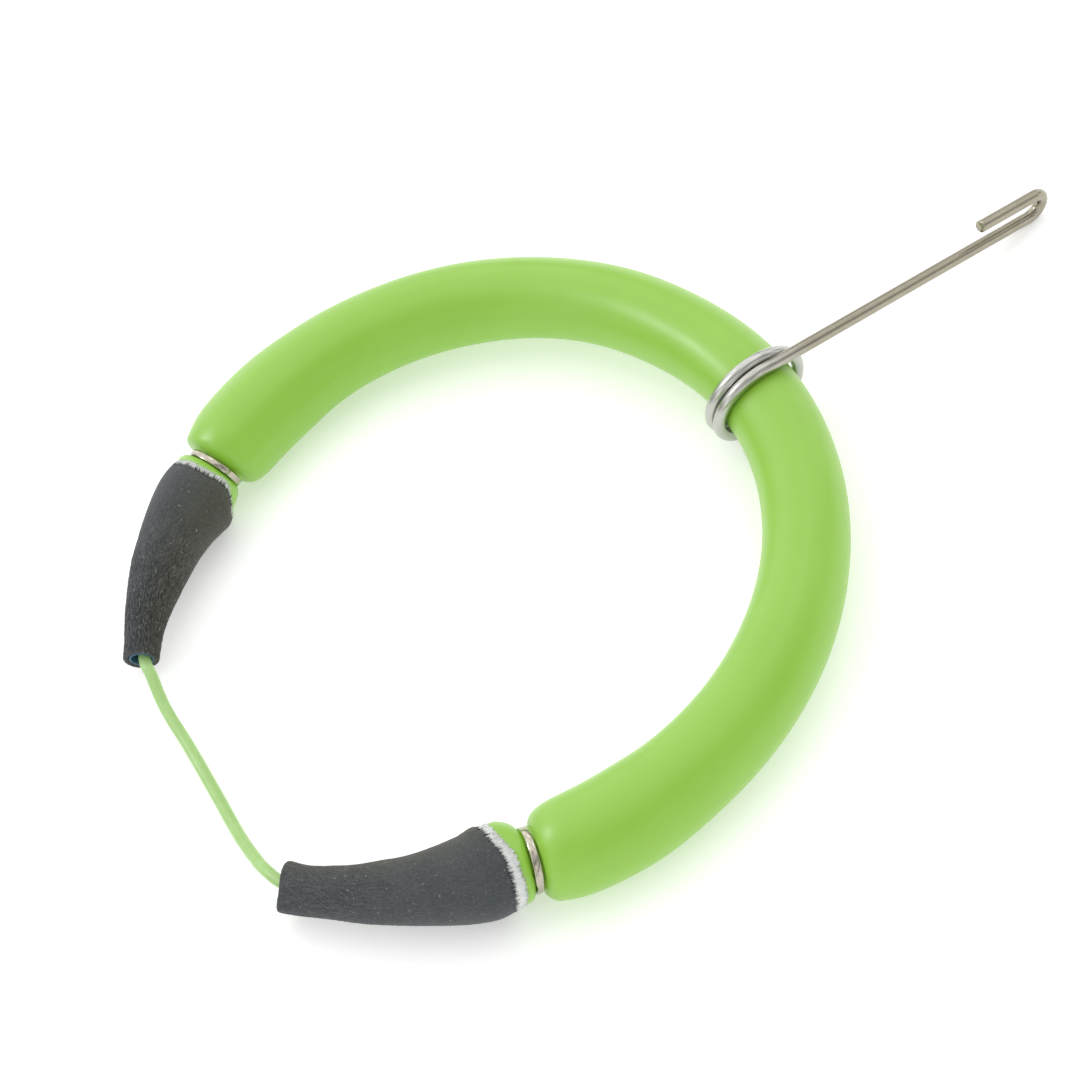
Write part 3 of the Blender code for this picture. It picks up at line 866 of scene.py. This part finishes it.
def hanger_route():
    """The wire's centreline in world metres, from the cut end under the tube to the tip of the crook."""
    coil = RING_OUTLINE[0][1] + COIL_CLEARANCE + WIRE_RADIUS

    def on_coil(turn):
        across = COIL_PITCH * (0.5 * COIL_START - turn) / math.tau
        return Vector((across, -coil * math.sin(turn), coil * math.cos(turn)))

    turns = np.linspace(COIL_START, -SHANK_SLOPE, 180)
    points = [on_coil(turn) for turn in turns]
    level = math.cos(SHANK_SLOPE) * math.cos(SHANK_LEAN)
    forward = Vector((-math.sin(SHANK_LEAN), level, -math.sin(SHANK_SLOPE))).normalized()
    above = forward.cross(Vector((0, 0, 1))).normalized().cross(forward)
    start = points[-1]
    points += [start + forward * SHANK_LENGTH * k / 60 for k in range(1, 60)]
    bend_centre = start + forward * SHANK_LENGTH + above * CROOK_RADIUS
    for turn in np.linspace(0, math.pi, 40):
        points.append(bend_centre + CROOK_RADIUS * (forward * math.sin(turn) - above * math.cos(turn)))
    tip = points[-1]
    points += [tip - forward * (CROOK_LEG * k / 20) for k in range(1, 20)]
    points += [tip - forward * (CROOK_LEG - extra) for extra in (0.00015, 0.0001, 0.00005, 0)]
    yaw, roll = COIL_YAW - COIL_ANGLE, COIL_ROLL
    c, s = math.cos(roll), math.sin(roll)
    rolled = np.array(((c, 0, s), (0, 1, 0), (-s, 0, c)))
    c, s = math.cos(yaw), math.sin(yaw)
    yawed = np.array(((c, -s, 0), (s, c, 0), (0, 0, 1)))
    return to_world(np.array(points) @ (yawed @ rolled).T + centre(COIL_ANGLE * RING_RADIUS))


def make_hanger(material):
    hanger = tube("bent_wire", hanger_route(), WIRE_RADIUS, 40, material, "hanger", chamfer=0.00015)
    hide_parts("wire_hanger")


# Stage

def make_floor():
    n = Nodes(bpy.data.materials.new("studio_floor"))
    cloud = n.noise((9, 9, 9), 2, 0.5)
    n.put("Base Color", n.ramp(cloud, (0.3, (0.90, 0.90, 0.895)), (0.7, (0.92, 0.92, 0.915))))
    n.put("Roughness", n.grey(cloud, 0.9, 1.0))
    n.put("Specular IOR Level", 0.1)
    n.put("Emission Color", (1, 1, 1, 1))
    n.put("Emission Strength", 0.32)
    mesh = bpy.data.meshes.new("studio_floor")
    mesh.from_pydata([(-6, -6, 0), (6, -6, 0), (6, 6, 0), (-6, 6, 0)], [], [(0, 1, 2, 3)])
    mesh.materials.append(n.owner)
    floor = bpy.data.objects.new("studio_floor", mesh)
    bpy.context.scene.collection.objects.link(floor)


def add_light(name, azimuth, elevation, size, radiance, distance, colour=(1, 1, 1), gloss_only=False):
    """A square softbox that faces the object from that direction; its radiance is set in plain units."""
    azimuth, elevation = math.radians(azimuth), math.radians(elevation)
    level = math.cos(elevation)
    way = Vector((level * math.cos(azimuth), level * math.sin(azimuth), math.sin(elevation)))
    data = bpy.data.lights.new(name, "AREA")
    data.shape, data.size, data.color = "SQUARE", size, colour
    data.energy = radiance * math.pi * size * size
    light = bpy.data.objects.new(name, data)
    light.visible_diffuse = not gloss_only
    light.location = way * distance
    light.rotation_euler = way.to_track_quat("Z", "Y").to_euler()
    bpy.context.scene.collection.objects.link(light)


def make_world():
    """A pale, uneven room, dimmer towards the ring's right side and in one part of the ceiling."""
    world = bpy.data.worlds.new("studio")
    bpy.context.scene.world = world
    n = Nodes(world, "Background")
    way = n.add("ShaderNodeTexCoord").outputs["Generated"]

    def facing(direction):
        values = {0: way, 1: direction}
        return n.add("ShaderNodeVectorMath", values, operation="DOT_PRODUCT").outputs["Value"]

    def times(first, second):
        return n.add("ShaderNodeMath", {0: first, 1: second}, operation="MULTIPLY").outputs["Value"]

    right_side, ceiling_part = (0.93, -0.33, -0.13), (0.57, -0.17, 0.81)
    level = n.grey(facing(right_side), 1.08, 0.85, -1, 1)
    patches = n.add("ShaderNodeTexNoise", {"Vector": way, "Scale": 2.6, "Detail": 2.0, "Roughness": 0.5})
    uneven = n.grey(patches.outputs["Fac"], 0.30, 1.70, 0.38, 0.62)
    ceiling = n.grey(facing(ceiling_part), 1.0, 0.60, 0.88, 0.97)
    n.put("Color", (1.0, 1.0, 1.0, 1.0))
    n.put("Strength", times(times(level, uneven), ceiling))


def make_lights():
    """A broad overhead softbox, and a cool window to the left that shows only in what is glossy."""
    add_light("overhead_softbox", azimuth=150, elevation=62, size=1.90, radiance=0.62, distance=1.4)
    cool = (0.92, 0.84, 1.0)
    key = {"size": 0.36, "radiance": 9.5, "distance": 1.3, "colour": cool, "gloss_only": True}
    add_light("key_window", azimuth=-129, elevation=43, **key)
    bpy.context.scene.view_settings.view_transform = "Standard"


def assign(node, material):
    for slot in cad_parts[node].material_slots:
        slot.material = material


make_camera()
cord_material = green_cord()
make_cord(cord_material)
# The wire's last colour is painted reflection on its coiled stretch.
steel_wire = steel("steel_wire", (0.37, 0.342, 0.268), 0.20, 0.30, coil_painted_reflection=(0.50, 0.50, 0.47))
steel_band = steel("steel_band", (0.49, 0.455, 0.37), 0.13, 0.21)
suede, fleece, hose_vinyl = black_suede(), white_fleece(), blue_hose()
foam, plastic = hidden_foam(), hidden_plastic()
make_ring_skin(green_elastomer())
assign("foam_core", foam)
for end in SIDES:
    make_ferrule(end, steel_band)
    make_sleeve(end, suede)
    make_fleece(end, fleece)
    make_hose(end, hose_vinyl)
    assign("end_plug_" + end, plastic)
    assign("cord_knot_" + end, cord_material)
make_hanger(steel_wire)
make_floor()
make_world()
make_lights()
